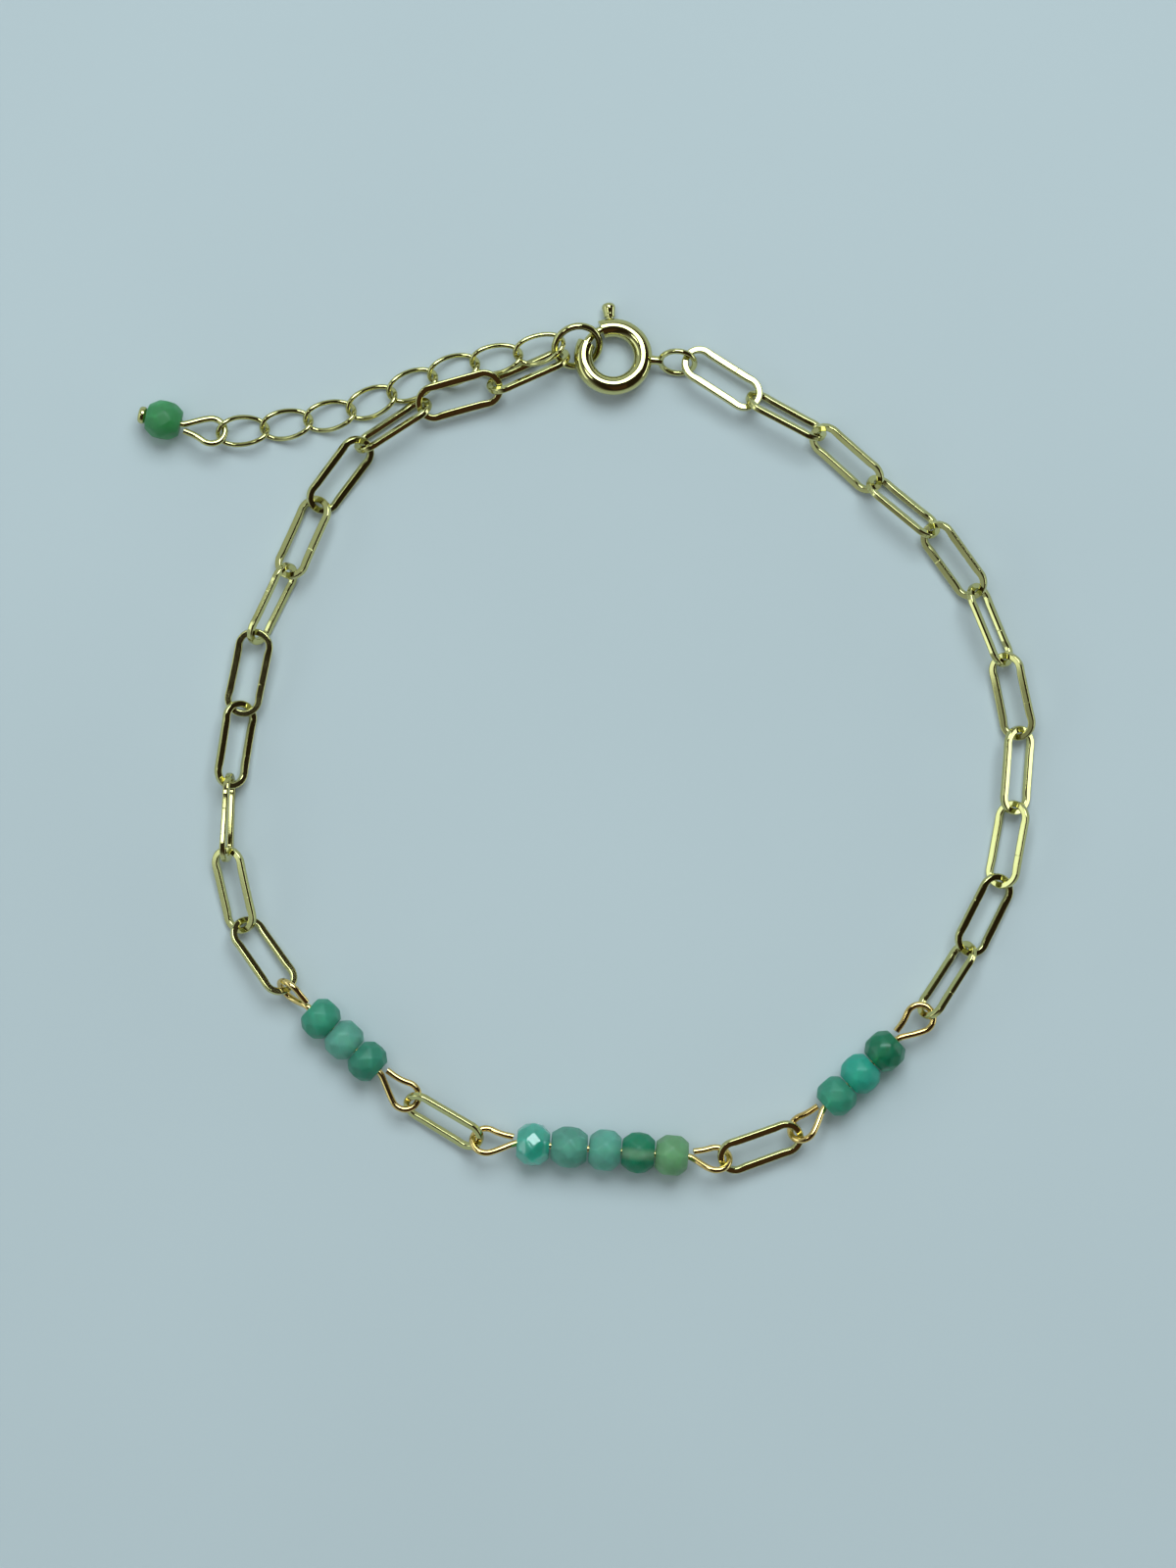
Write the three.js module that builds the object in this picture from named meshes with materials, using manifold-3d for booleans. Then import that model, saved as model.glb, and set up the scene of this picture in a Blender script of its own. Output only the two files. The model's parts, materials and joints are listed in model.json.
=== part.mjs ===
// A drawn-link gold bracelet with three bars of cut green beads, a spring ring clasp and an extender.
// It lies flat and fastened. Millimetres and degrees, +Z up.
import * as THREE from "three";
import { ConvexGeometry } from "three/addons/geometries/ConvexGeometry.js";
import { mergeVertices } from "three/addons/utils/BufferGeometryUtils.js";
import Module from "manifold-3d";

const wasm = await Module();
wasm.setup();

// Driving dimensions
const LINK = { length: 6.26, width: 2.68, wire: 0.44, pitch: 5.2, arcSteps: 6 };
const CURB = { halfLength: 1.76, halfWidth: 0.96, twist: 0.42, wire: 0.34, pitch: 3.1, steps: 14 };
const BEAD = { rhombs: 8, rhombHalf: 0.58, table: 0.6, hole: 0.56, gap: 0.06 };
const EYE = { wire: 0.4, radius: 0.95, arcSteps: 8, freeEnd: 0.3 };
const HEAD = { diameter: 1.25, thickness: 0.45 };
const END_RING = { radius: 1.6, wire: 0.5, x: -2.52, y: 0.72, z: 1.265, heading: 20, tilt: 36 };
const CLASP = {
  ringRadius: 2.1,
  tubeRadius: 0.65,
  boreRadius: 0.37,
  gap: [118, 158],
  slot: [48, 106],
  slotHeight: 0.58,
  neckRadius: 0.33,
  neckEnd: 3.45,
  heading: -5,
  roll: -10,
  height: 1.17,
};
const TAIL = { radius: 1.2, wire: 0.4, x: 4.54, roll: 65, seat: 15 };
const TRIGGER = {
  boltRadius: 0.27,
  bolt: [92, 162],
  at: 100,
  stemRadius: 0.2,
  knobRadius: 0.45,
  knob: [2.86, 3.88],
};
const WIRE_SIDES = 6;
// From the middle of a joint to the top of either wire's bend
const HOOK = (LINK.length - LINK.wire - LINK.pitch) / 2;

// Colours
const PALE_GOLD = 0xd8c890;
const WARM_GOLD = 0xcf9f52;
const DEEP_GREEN = 0x1f6b4c;
const TEAL = 0x2f8f7c;
const SEA_GREEN = 0x4f9a83;
const PALE_TEAL = 0x6fb0a4;
const LEAF_GREEN = 0x3f8a58;

// The beads of each bar, in the order in which the chain meets them
const RIGHT_BEADS = [
  { length: 2.3, diameter: 3.0, turn: 2, colour: DEEP_GREEN },
  { length: 2.25, diameter: 3.0, turn: -4, colour: TEAL },
  { length: 2.2, diameter: 2.95, turn: 5, colour: SEA_GREEN },
];
const CENTRE_BEADS = [
  { length: 2.3, diameter: 3.05, turn: 3, colour: LEAF_GREEN },
  { length: 2.3, diameter: 3.05, turn: -5, colour: DEEP_GREEN },
  { length: 2.25, diameter: 3.1, turn: 0, colour: PALE_TEAL },
  { length: 2.65, diameter: 3.1, turn: -3, colour: SEA_GREEN },
  { length: 2.3, diameter: 3.1, turn: 15, colour: TEAL },
];
const LEFT_BEADS = [
  { length: 2.15, diameter: 3.0, turn: -4, colour: LEAF_GREEN },
  { length: 2.15, diameter: 2.95, turn: 3, colour: PALE_TEAL },
  { length: 2.15, diameter: 3.0, turn: 0, colour: SEA_GREEN },
];
const DROP_BEADS = [{ length: 2.45, diameter: 2.9, turn: 0, colour: LEAF_GREEN }];

// The loop as it lies, clockwise from the clasp's tail to the end ring.
// A link has its roll about its own length, left side up.
// A bar has two eyes, each with its roll and its reach from the last bead to the top of its bend.
const LOOP = [
  { name: "link_right_01", heading: -31.5, roll: -18 },
  { name: "link_right_02", heading: -27.5, roll: -61 },
  { name: "link_right_03", heading: -41, roll: 41 },
  { name: "link_right_04", heading: -38.5, roll: -55 },
  { name: "link_right_05", heading: -53.5, roll: 35 },
  { name: "link_right_06", heading: -67, roll: -55 },
  { name: "link_right_07", heading: -77.5, roll: 30 },
  { name: "link_right_08", heading: -94, roll: -40 },
  { name: "link_right_09", heading: -100, roll: 37 },
  { name: "link_right_10", heading: -117, roll: -27 },
  { name: "link_right_11", heading: -123, roll: 57 },
  {
    name: "bar_right",
    heading: -137,
    beads: RIGHT_BEADS,
    start: { roll: 3, reach: 3.1 },
    end: { roll: 38, reach: 3.05 },
  },
  { name: "link_between_right", heading: -161, roll: -24 },
  {
    name: "bar_centre",
    heading: -184.7,
    beads: CENTRE_BEADS,
    start: { roll: 38, reach: 2.85 },
    end: { roll: 30, reach: 3.15 },
  },
  { name: "link_between_left", heading: -211.5, roll: -47 },
  {
    name: "bar_left",
    heading: -222.7,
    beads: LEFT_BEADS,
    start: { roll: 5, reach: 3.4 },
    end: { roll: -65, reach: 2.6 },
  },
  { name: "link_left_11", heading: 125, roll: 29 },
  { name: "link_left_10", heading: 102, roll: -34 },
  { name: "link_left_09", heading: 87, roll: 81 },
  { name: "link_left_08", heading: 81, roll: 35 },
  { name: "link_left_07", heading: 78, roll: -6 },
  { name: "link_left_06", heading: 64, roll: 62 },
  { name: "link_left_05", heading: 66, roll: -30 },
  { name: "link_left_04", heading: 53, roll: 34 },
  { name: "link_left_03", heading: 33.5, roll: -62 },
  { name: "link_left_02", heading: 16, roll: 13 },
  { name: "link_left_01", heading: 24, roll: -60 },
];

// The extender from the end ring outwards: each link's heading, its roll and the height of its far joint
const EXTENDER = [
  { heading: 195, roll: 0, height: 1.05 },
  { heading: 190, roll: 0, height: 0.64 },
  { heading: 197, roll: 0, height: 0.6 },
  { heading: 203, roll: 0, height: 0.6 },
  { heading: 203, roll: 0, height: 0.6 },
  { heading: 193, roll: 0, height: 0.6 },
  { heading: 190, roll: 0, height: 0.6 },
  { heading: 187, roll: 0, height: 1.2 },
];
const DROP = { heading: 167, eye: { roll: 20, reach: 3.1 } };

// Where the end ring's wire carries the first left link and the first extender link:
// the turn round the ring, and how far in from the wire's middle the joint lies
const LINK_SEAT = { turn: 195, depth: HOOK };
const EXTENDER_SEAT = { turn: 152, depth: HOOK + 0.1 };

const UP = new THREE.Vector3(0, 0, 1);
const rad = THREE.MathUtils.degToRad;
const inPlan = (heading) => new THREE.Vector3(Math.cos(rad(heading)), Math.sin(rad(heading)), 0);

// A wire's middle line through given points, with its section square to the run at each point.
class WirePath extends THREE.Curve {
  constructor(points, closed = false) {
    super();
    this.points = points;
    this.closed = closed;
    this.spans = closed ? points.length : points.length - 1;
  }

  near(index) {
    const count = this.points.length;
    return this.closed
      ? this.points[(index + count) % count]
      : this.points[THREE.MathUtils.clamp(index, 0, count - 1)];
  }

  getPoint(t) {
    const span = Math.min(Math.floor(t * this.spans), this.spans - 1);
    return this.near(span).clone().lerp(this.near(span + 1), t * this.spans - span);
  }

  getPointAt(u) {
    return this.getPoint(u);
  }

  getTangentAt(u) {
    const index = Math.round(u * this.spans);
    return this.near(index + 1).clone().sub(this.near(index - 1)).normalize();
  }

  computeFrenetFrames(segments, closed) {
    if (!this.closed) return super.computeFrenetFrames(segments, closed);
    const frames = { tangents: [], normals: [], binormals: [] };
    for (let i = 0; i <= segments; i++) {
      const tangent = this.getTangentAt(i / segments);
      const normal = UP.clone().cross(tangent).normalize();
      frames.tangents.push(tangent);
      frames.normals.push(normal);
      frames.binormals.push(tangent.clone().cross(normal));
    }
    return frames;
  }
}

// Round wire of a given diameter along a path.
function wire(points, diameter, closed = false) {
  const section = new THREE.Shape();
  for (let i = 0; i < WIRE_SIDES; i++) {
    const turn = (i * 2 * Math.PI) / WIRE_SIDES;
    const corner = [(diameter / 2) * Math.cos(turn), (diameter / 2) * Math.sin(turn)];
    if (i === 0) section.moveTo(...corner);
    else section.lineTo(...corner);
  }
  const path = new WirePath(points, closed);
  return new THREE.ExtrudeGeometry(section, { extrudePath: path, steps: path.spans, bevelEnabled: false });
}

function toSolid(geometry) {
  const bare = geometry.clone();
  bare.deleteAttribute("normal");
  bare.deleteAttribute("uv");
  const merged = mergeVertices(bare, 1e-4);
  return new wasm.Manifold(
    new wasm.Mesh({
      numProp: 3,
      vertProperties: merged.attributes.position.array,
      triVerts: new Uint32Array(merged.index.array),
    }),
  );
}

function toGeometry(solid) {
  const mesh = solid.getMesh();
  const geometry = new THREE.BufferGeometry();
  geometry.setAttribute("position", new THREE.BufferAttribute(mesh.vertProperties, mesh.numProp));
  geometry.setIndex(new THREE.BufferAttribute(mesh.triVerts, 1));
  geometry.computeVertexNormals();
  return geometry;
}

function metal(color) {
  return new THREE.MeshStandardMaterial({ color, roughness: 0.18, metalness: 1 });
}

function stone(color) {
  return new THREE.MeshStandardMaterial({ color, roughness: 0.3, metalness: 0 });
}

function named(name, geometry, material) {
  const mesh = new THREE.Mesh(geometry, material);
  mesh.name = name;
  return mesh;
}

// Lays an object made along +X from one point to another, rolled about that run.
function layBetween(object, from, to, roll) {
  const run = to.clone().sub(from);
  object.position.copy(from).addScaledVector(run, 0.5);
  const rise = Math.asin(run.z / run.length());
  object.rotation.set(rad(roll), -rise, Math.atan2(run.y, run.x), "ZYX");
}

// One drawn link: two straight legs and two half-round ends, flat in XY.
function drawnLink() {
  const bend = (LINK.width - LINK.wire) / 2;
  const legHalf = (LINK.length - LINK.wire) / 2 - bend;
  const points = [];
  for (const side of [1, -1]) {
    for (let i = 0; i <= LINK.arcSteps; i++) {
      const turn = Math.PI / 2 - (i * Math.PI) / LINK.arcSteps;
      const along = legHalf + bend * Math.cos(turn);
      points.push(new THREE.Vector3(side * along, side * bend * Math.sin(turn), 0));
    }
  }
  return wire(points.reverse(), LINK.wire, true);
}

// One curb link: an oval twisted so that its two ends lean opposite ways.
function curbLink() {
  const points = [];
  for (let i = 0; i < CURB.steps; i++) {
    const turn = (i * 2 * Math.PI) / CURB.steps;
    const across = CURB.halfWidth * Math.sin(turn);
    const lift = -CURB.twist * Math.sin(2 * turn);
    points.push(new THREE.Vector3(CURB.halfLength * Math.cos(turn), across, lift));
  }
  return wire(points, CURB.wire, true);
}

// A cut bead, drilled along X: rhombs round the girdle, triangles and a crown each side, and two tables.
function cutBead({ length, diameter, turn }) {
  const radius = diameter / 2;
  const step = (2 * Math.PI) / BEAD.rhombs;
  const crown = radius * Math.cos(step / 2);
  const rings = [
    { x: 0, radius, shift: 0.5 },
    { x: BEAD.rhombHalf, radius: crown, shift: 0 },
    { x: length / 2, radius: BEAD.table * radius, shift: 0 },
    { x: -BEAD.rhombHalf, radius: crown, shift: 0 },
    { x: -length / 2, radius: BEAD.table * radius, shift: 0 },
  ];
  const corners = rings.flatMap((ring) =>
    Array.from({ length: BEAD.rhombs }, (_, i) => {
      const angle = (i + ring.shift) * step + rad(turn);
      return new THREE.Vector3(ring.x, ring.radius * Math.sin(angle), -ring.radius * Math.cos(angle));
    }),
  );
  const drill = new THREE.CylinderGeometry(BEAD.hole / 2, BEAD.hole / 2, 2 * length, BEAD.rhombs);
  drill.rotateZ(Math.PI / 2);
  return toGeometry(toSolid(new ConvexGeometry(corners)).subtract(toSolid(drill)));
}

// How far a bead reaches below its hole's middle, as it is turned.
function beadDrop({ diameter, turn }) {
  const half = 180 / BEAD.rhombs;
  const offFlat = Math.abs(THREE.MathUtils.euclideanModulo(turn + half, 2 * half) - half);
  return (diameter / 2) * Math.cos(rad(half - offFlat));
}

// The middle line of an eye along +X from a bead's face: out on one side, round, and back to a free end.
function eyePoints(side, { roll, reach }) {
  const centre = reach - EYE.radius;
  const sweep = Math.PI - Math.acos(EYE.radius / centre);
  const points = [new THREE.Vector3(0, 0, 0)];
  for (let i = 0; i <= EYE.arcSteps; i++) {
    const turn = sweep * ((2 * i) / EYE.arcSteps - 1);
    const along = centre + EYE.radius * Math.cos(turn);
    points.push(new THREE.Vector3(along, -side * EYE.radius * Math.sin(turn), 0));
  }
  points.push(new THREE.Vector3(EYE.freeEnd, -side * EYE.wire, 0));
  return points.map((point) => point.applyAxisAngle(new THREE.Vector3(1, 0, 0), rad(roll)));
}

const stackLength = (beads) => beads.reduce((sum, bead) => sum + bead.length + BEAD.gap, BEAD.gap);
const barPitch = ({ beads, start, end }) => stackLength(beads) + start.reach + end.reach - 2 * HOOK;

// Beads in a row along X, centred.
function beadRow(name, beads) {
  let x = -stackLength(beads) / 2 + BEAD.gap;
  return beads.map((bead, i) => {
    const mesh = named(`${name}_bead_${i + 1}`, cutBead(bead), stone(bead.colour));
    mesh.position.x = x + bead.length / 2;
    x += bead.length + BEAD.gap;
    return mesh;
  });
}

// A bar along +X: its wire with an eye at each end, and its beads.
function beadBar({ name, beads, start, end }) {
  const half = stackLength(beads) / 2;
  const back = eyePoints(1, start).map((point) => new THREE.Vector3(-half - point.x, point.y, point.z));
  const front = eyePoints(1, end).map((point) => new THREE.Vector3(half + point.x, point.y, point.z));
  const bar = new THREE.Group();
  bar.add(named(`${name}_wire`, wire([...back.reverse(), ...front], EYE.wire), metal(WARM_GOLD)));
  bar.add(...beadRow(name, beads));
  for (const piece of bar.children) piece.position.x += (start.reach - end.reach) / 2;
  return bar;
}

// The drop along +X: an eye, one bead and the pin's flat head, in one wire.
function beadDropPin() {
  const half = stackLength(DROP_BEADS) / 2;
  const eye = eyePoints(-1, DROP.eye).map((point) => new THREE.Vector3(-half - point.x, point.y, point.z));
  const pinEnd = new THREE.Vector3(half + HEAD.thickness / 2, 0, 0);
  const pin = toSolid(wire([...eye.reverse(), pinEnd], EYE.wire));
  const rim = HEAD.diameter / 2;
  const profile = [
    [0, 0],
    [rim * 0.85, 0],
    [rim, HEAD.thickness * 0.3],
    [rim, HEAD.thickness * 0.6],
    [rim * 0.6, HEAD.thickness],
    [0, HEAD.thickness],
  ];
  const head = new THREE.LatheGeometry(profile.map((p) => new THREE.Vector2(...p)), 12);
  head.rotateZ(-Math.PI / 2).translate(half, 0, 0);
  const drop = new THREE.Group();
  drop.add(named("drop_pin", toGeometry(pin.add(toSolid(head))), metal(PALE_GOLD)));
  drop.add(...beadRow("drop", DROP_BEADS));
  return drop;
}

// A ring of round section about Z.
function roundRing(ringRadius, sectionRadius, sides, segments) {
  const profile = [];
  for (let i = 0; i <= sides; i++) {
    const turn = (i * 2 * Math.PI) / sides;
    profile.push(
      new THREE.Vector2(ringRadius + sectionRadius * Math.cos(turn), sectionRadius * Math.sin(turn)),
    );
  }
  return new THREE.LatheGeometry(profile, segments).rotateX(Math.PI / 2);
}

// A flat sector about Z, centred on its height.
function sector([from, to], inner, outer, height) {
  const shape = new THREE.Shape();
  shape.absarc(0, 0, outer, rad(from), rad(to), false);
  shape.absarc(0, 0, inner, rad(to), rad(from), true);
  return new THREE.ExtrudeGeometry(shape, {
    depth: height,
    bevelEnabled: false,
    curveSegments: 10,
  }).translate(0, 0, -height / 2);
}

// The clasp's body: a hollow ring with a gap and a thumb slot, its neck and its tail ring.
function claspBody() {
  const outside = CLASP.ringRadius + 2 * CLASP.tubeRadius;
  const tube = toSolid(roundRing(CLASP.ringRadius, CLASP.tubeRadius, 12, 36));
  const bore = toSolid(roundRing(CLASP.ringRadius, CLASP.boreRadius, 10, 36));
  const gap = toSolid(sector(CLASP.gap, CLASP.ringRadius / 2, outside, 4 * CLASP.tubeRadius));
  const slotInner = CLASP.ringRadius + CLASP.boreRadius / 2;
  const slot = toSolid(sector(CLASP.slot, slotInner, outside, CLASP.slotHeight));
  const neckStart = CLASP.ringRadius + CLASP.tubeRadius * 0.8;
  const neckLength = CLASP.neckEnd - neckStart;
  const neck = new THREE.CylinderGeometry(CLASP.neckRadius, CLASP.neckRadius, neckLength, 10);
  neck.rotateZ(Math.PI / 2).translate(neckStart + neckLength / 2, 0, 0);
  const tail = roundRing(TAIL.radius, TAIL.wire / 2, WIRE_SIDES, 16);
  tail.rotateX(rad(TAIL.roll)).translate(TAIL.x, 0, 0);
  return toGeometry(tube.subtract(bore).subtract(gap).subtract(slot).add(toSolid(neck)).add(toSolid(tail)));
}

// The clasp's trigger: the curved bolt that bridges the gap, its stem and its thumb knob.
function claspTrigger() {
  const steps = 12;
  const [from, to] = TRIGGER.bolt;
  const arc = [];
  for (let i = 0; i <= steps; i++) {
    arc.push(inPlan(from + ((to - from) * i) / steps).multiplyScalar(CLASP.ringRadius));
  }
  const [knobStart, knobEnd] = TRIGGER.knob;
  const r = TRIGGER.knobRadius;
  const profile = [
    [0, CLASP.ringRadius],
    [TRIGGER.stemRadius, CLASP.ringRadius],
    [TRIGGER.stemRadius, knobStart],
    [r * 0.8, knobStart],
    [r, knobStart + 0.3 * r],
    [r, knobEnd - 0.7 * r],
    [r * 0.7, knobEnd - 0.2 * r],
    [0, knobEnd],
  ];
  const knob = new THREE.LatheGeometry(profile.map((p) => new THREE.Vector2(...p)), 12);
  knob.rotateZ(rad(TRIGGER.at - 90));
  return toGeometry(toSolid(wire(arc, 2 * TRIGGER.boltRadius)).add(toSolid(knob)));
}

// The height of a link's middle when its lower leg lies on the surface, or of a bar's wire on its beads.
function restHeight({ roll, beads }) {
  if (beads) return Math.max(...beads.map(beadDrop));
  return LINK.wire / 2 + ((LINK.width - LINK.wire) / 2) * Math.abs(Math.sin(rad(roll)));
}

// A point on the end ring's wire, by its turn round the ring from the ring's own heading.
function endRingPoint(turn) {
  return inPlan(turn)
    .multiplyScalar(END_RING.radius)
    .applyAxisAngle(new THREE.Vector3(1, 0, 0), rad(END_RING.tilt))
    .applyAxisAngle(UP, rad(END_RING.heading))
    .add(new THREE.Vector3(END_RING.x, END_RING.y, END_RING.z));
}

const bracelet = new THREE.Group();

// Clasp: the frame's middle for the layout is the clasp ring's own.
const clasp = new THREE.Group();
clasp.add(named("clasp_body", claspBody(), metal(PALE_GOLD)));
clasp.add(named("clasp_trigger", claspTrigger(), metal(PALE_GOLD)));
clasp.position.z = CLASP.height;
clasp.rotation.set(rad(CLASP.roll), 0, rad(CLASP.heading), "ZYX");
bracelet.add(clasp);

// End ring
const endRing = roundRing(END_RING.radius, END_RING.wire / 2, WIRE_SIDES, 16);
const endRingMesh = named("end_ring", endRing, metal(PALE_GOLD));
endRingMesh.position.set(END_RING.x, END_RING.y, END_RING.z);
endRingMesh.rotation.set(rad(END_RING.tilt), 0, rad(END_RING.heading), "ZYX");
bracelet.add(endRingMesh);

// The loop is walked joint by joint, and its small misclosure is spread evenly over the joints.
const heights = LOOP.map(restHeight);
clasp.updateMatrixWorld();
const tailEnd = clasp.localToWorld(
  inPlan(TAIL.seat)
    .multiplyScalar(TAIL.radius)
    .applyAxisAngle(new THREE.Vector3(1, 0, 0), rad(TAIL.roll))
    .add(new THREE.Vector3(TAIL.x, 0, 0)),
);
tailEnd.addScaledVector(inPlan(LOOP[0].heading), -HOOK);
const lastLink = LOOP[LOOP.length - 1];
const loopEnd = endRingPoint(LINK_SEAT.turn).addScaledVector(inPlan(lastLink.heading), LINK_SEAT.depth);
const joints = [tailEnd];
LOOP.forEach((row, i) => {
  const step = inPlan(row.heading).multiplyScalar(row.beads ? barPitch(row) : LINK.pitch);
  const next = joints[i].clone().add(step);
  joints.push(next.setZ(i + 1 < LOOP.length ? Math.max(heights[i], heights[i + 1]) : heights[i]));
});
const miss = loopEnd.clone().sub(joints[LOOP.length]).setZ(0);
joints.forEach((joint, i) => joint.addScaledVector(miss, i / LOOP.length));

LOOP.forEach((row, i) => {
  const piece = row.beads ? beadBar(row) : named(row.name, drawnLink(), metal(PALE_GOLD));
  layBetween(piece, joints[i], joints[i + 1], row.beads ? 0 : row.roll);
  bracelet.add(piece);
});

// Extender and drop, outwards from the end ring
let from = endRingPoint(EXTENDER_SEAT.turn);
from.addScaledVector(inPlan(EXTENDER[0].heading), -EXTENDER_SEAT.depth);
EXTENDER.forEach(({ heading, roll, height }, i) => {
  const to = from.clone().addScaledVector(inPlan(heading), CURB.pitch).setZ(height);
  const link = named(`extender_link_${i + 1}`, curbLink(), metal(PALE_GOLD));
  layBetween(link, from, to, roll);
  bracelet.add(link);
  from = to;
});
const drop = beadDropPin();
const dropRun = stackLength(DROP_BEADS) / 2 + DROP.eye.reach - HOOK;
drop.position.copy(from).addScaledVector(inPlan(DROP.heading), dropRun);
drop.position.z = Math.max(...DROP_BEADS.map(beadDrop));
drop.rotation.z = rad(DROP.heading);
bracelet.add(drop);

// The origin is the middle of the box, on the surface that the bracelet lies on.
const box = new THREE.Box3().setFromObject(bracelet, true);
const middle = box.getCenter(new THREE.Vector3());
bracelet.position.set(-middle.x, -middle.y, -box.min.z);

export default bracelet;
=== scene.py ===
"""Looks of a fastened gold bracelet: drawn links, bars of cut green beads, spring ring clasp and extender."""

import json
import logging
import math
import random
from dataclasses import dataclass, field
from enum import Enum
from typing import Callable, Sequence

import bmesh
import bpy
import numpy as np
from mathutils import Matrix, Vector


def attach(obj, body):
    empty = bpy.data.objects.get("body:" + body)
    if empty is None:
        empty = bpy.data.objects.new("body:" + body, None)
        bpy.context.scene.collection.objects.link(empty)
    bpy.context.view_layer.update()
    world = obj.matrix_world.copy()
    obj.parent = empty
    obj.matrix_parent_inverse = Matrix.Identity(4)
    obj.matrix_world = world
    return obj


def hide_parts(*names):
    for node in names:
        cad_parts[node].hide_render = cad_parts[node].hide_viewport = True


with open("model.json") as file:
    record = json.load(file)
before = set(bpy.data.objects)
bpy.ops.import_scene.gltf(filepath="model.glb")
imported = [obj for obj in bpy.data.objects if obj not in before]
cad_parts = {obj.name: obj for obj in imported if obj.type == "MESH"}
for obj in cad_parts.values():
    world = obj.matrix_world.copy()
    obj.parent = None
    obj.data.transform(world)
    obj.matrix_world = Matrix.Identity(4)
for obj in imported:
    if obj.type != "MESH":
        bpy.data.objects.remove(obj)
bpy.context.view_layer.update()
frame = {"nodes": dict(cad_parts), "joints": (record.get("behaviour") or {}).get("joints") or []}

LOG = logging.getLogger("bracelet")
MM = 0.001
BRACELET = "bracelet"
TRIGGER = "trigger"
UP = Vector((0.0, 0.0, 1.0))
Piece = bpy.types.Object
Tree = bpy.types.NodeTree
Part = bmesh.types.BMVert | bmesh.types.BMFace
Path = list[Vector]
Wire = tuple[bpy.types.Node, str, bpy.types.Node, str | int]
Tone = tuple[float, float, float]
# Bead attribute of painted light: red is a painted reflection tone per facet, green the nearness to a painted
# glow along the wire.
PAINTED_FACET_LIGHT = "painted_facet_light"
END_ROUNDING = 0.16
SWEEP_SLACK = 0.01


class Metal(Enum):
    """The two golds, named as the record's slots."""

    PALE = "pale_gold"
    WARM = "warm_gold"


class Stone(Enum):
    """The bead tones, named as the record's slots."""

    DEEP_GREEN = "bead_deep_green"
    TEAL = "bead_teal"
    SEA_GREEN = "bead_sea_green"
    PALE_TEAL = "bead_pale_teal"
    LEAF_GREEN = "bead_leaf_green"


# Places taken from the solids


def node_points(node: str) -> np.ndarray:
    """Give the corners of a solid, each once.

    Args:
        node: Name of the solid.

    Returns:
        Corners in millimetres, one row each.
    """
    mesh = frame["nodes"][node].data
    flat = np.empty(len(mesh.vertices) * 3, np.float32)
    mesh.vertices.foreach_get("co", flat)
    return np.unique(np.round(flat.reshape(-1, 3).astype(float) / MM, 4), axis=0)


def node_middle(node: str) -> Vector:
    """Give the middle of a solid's corners in millimetres."""
    return Vector(node_points(node).mean(0))


@dataclass(frozen=True)
class Pose:
    """Where a piece lies: its middle in millimetres and its own axes."""

    middle: Vector
    along: Vector
    across: Vector

    @classmethod
    def of_ring(cls, node: str) -> "Pose":
        """Read the pose of a link or ring from the spread of its corners.

        Args:
            node: Name of the solid.

        Returns:
            Pose with the longest spread along, the next across and the least as normal.
        """
        points = node_points(node)
        middle = points.mean(0)
        axes = np.linalg.svd(points - middle, full_matrices=False)[2]
        normal = Vector(axes[2])
        along = Vector(axes[0])
        if normal.z < 0:
            normal = -normal
        if along.y < 0:
            along = -along
        return cls(Vector(middle), along, normal.cross(along))

    @classmethod
    def level(cls, middle: Vector, along: Vector) -> "Pose":
        """Give the pose of a piece that runs along a line with its side level.

        Args:
            middle: Middle of the piece in millimetres.
            along: Direction of the run.

        Returns:
            Pose whose across axis is level and to the left of the run.
        """
        run = along.normalized()
        return cls(middle, run, UP.cross(run).normalized())

    def matrix(self) -> Matrix:
        """Give the move from millimetres about the origin to the piece's place in metres."""
        normal = self.along.cross(self.across)
        turn = Matrix((self.along, self.across, normal)).transposed().to_4x4()
        return Matrix.Diagonal((MM, MM, MM, 1.0)) @ Matrix.Translation(self.middle) @ turn


# Bench moves


def clear_selection() -> None:
    """Deselect every object."""
    if bpy.context.mode != "OBJECT":
        bpy.ops.object.mode_set(mode="OBJECT")
    bpy.ops.object.select_all(action="DESELECT")


def pick(piece: Piece) -> Piece:
    """Make one object the only selected and active one.

    Args:
        piece: Object to pick.

    Returns:
        The same object.
    """
    clear_selection()
    piece.select_set(True)
    bpy.context.view_layer.objects.active = piece
    return piece


def settle() -> None:
    """Take the active object's place, turn and size into its mesh."""
    bpy.ops.object.transform_apply(location=True, rotation=True, scale=True)


def select_whole() -> None:
    """Select all of the open piece."""
    bpy.ops.mesh.select_all(action="SELECT")


def start_edit(piece: Piece) -> None:
    """Open a piece in edit mode with all of it selected.

    Args:
        piece: Object to open.
    """
    pick(piece)
    bpy.ops.object.mode_set(mode="EDIT")
    select_whole()


def end_edit() -> None:
    """Return to object mode."""
    bpy.ops.object.mode_set(mode="OBJECT")


def select_where(piece: Piece, kind: str, test: Callable[[Part], bool]) -> None:
    """Select the corners or faces of an open piece that pass a test.

    Args:
        piece: Object in edit mode.
        kind: VERT for corners or FACE for faces.
        test: Says whether one of them counts.
    """
    bpy.ops.mesh.select_mode(type=kind)
    bpy.ops.mesh.select_all(action="DESELECT")
    net = bmesh.from_edit_mesh(piece.data)
    for part in net.verts if kind == "VERT" else net.faces:
        if test(part):
            part.select_set(True)
    net.select_flush_mode()
    bmesh.update_edit_mesh(piece.data)


def dropped(piece: Piece) -> None:
    """Remove a tool or master shape.

    Args:
        piece: Object to remove.
    """
    spare = piece.data
    bpy.data.objects.remove(piece)
    bpy.data.meshes.remove(spare)


def is_end_cap(face: bmesh.types.BMFace) -> bool:
    """Say whether a face closes the end of a wire."""
    return len(face.verts) > 4


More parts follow.
